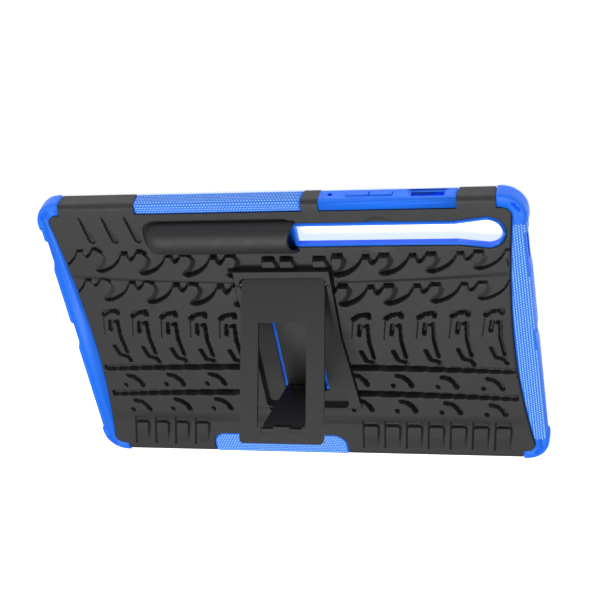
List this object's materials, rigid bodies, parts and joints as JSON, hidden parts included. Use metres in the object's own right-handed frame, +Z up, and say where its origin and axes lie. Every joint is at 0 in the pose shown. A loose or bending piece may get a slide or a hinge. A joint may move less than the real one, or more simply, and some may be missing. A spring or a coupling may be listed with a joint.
{
  "type": "tablet case",
  "caption": "Rugged layered tablet case: soft tray with corner bumpers, hard tread-patterned back shell, pen sleeve and slot, and a fold-out kickstand with a strut.",
  "frame": {"origin": "middle of the case's footprint, on the plane of the tray's front lip, the case lying on that lip", "axes": "+X along the case's length, towards the camera end; +Y towards the key edge; +Z up, out of the case's back, the way the kickstand opens"},
  "size_m": [0.264, 0.1764, 0.0685],
  "materials": {
    "soft_tpu": "satin moulded TPU, blue",
    "hard_shell": "matte moulded polycarbonate, dark grey",
    "stand_plastic": "matte moulded polycarbonate, dark grey",
    "pin_steel": "plain drawn steel rod"
  },
  "bodies": {
    "tray": {"inner_tray": "soft_tpu"},
    "shell": {"outer_shell": "hard_shell", "stand_hinge_pin": "pin_steel", "brace_hinge_pin": "pin_steel"},
    "stand": {"stand_plate": "stand_plastic"},
    "brace": {"stand_brace": "stand_plastic"},
    "volume_up": {"volume_up_key": "soft_tpu"},
    "volume_down": {"volume_down_key": "soft_tpu"}
  },
  "joints": [
    {"name": "shell_lift", "type": "slide", "parent": "tray", "child": "shell", "axis": [0, 0, 1], "range_m": [0, 0.03]},
    {"name": "stand_fold", "type": "hinge", "parent": "shell", "child": "stand", "pos_m": [0.0002, 0.0364, 0.0131], "axis": [1, 0, 0], "range_deg": [0, 40]},
    {"name": "brace_fold", "type": "hinge", "parent": "shell", "child": "brace", "pos_m": [0.0002, -0.0368, 0.0118], "axis": [1, 0, 0], "range_deg": [-72, 0]},
    {"name": "volume_up_press", "type": "slide", "parent": "tray", "child": "volume_up", "axis": [0, -1, 0], "range_m": [0, 0.0005], "stiffness_N_per_m": 800},
    {"name": "volume_down_press", "type": "slide", "parent": "tray", "child": "volume_down", "axis": [0, -1, 0], "range_m": [0, 0.0005], "stiffness_N_per_m": 800}
  ],
  "couplings": [
    {"joint": "brace_fold", "follows": "stand_fold", "ratio": -1.8}
  ]
}
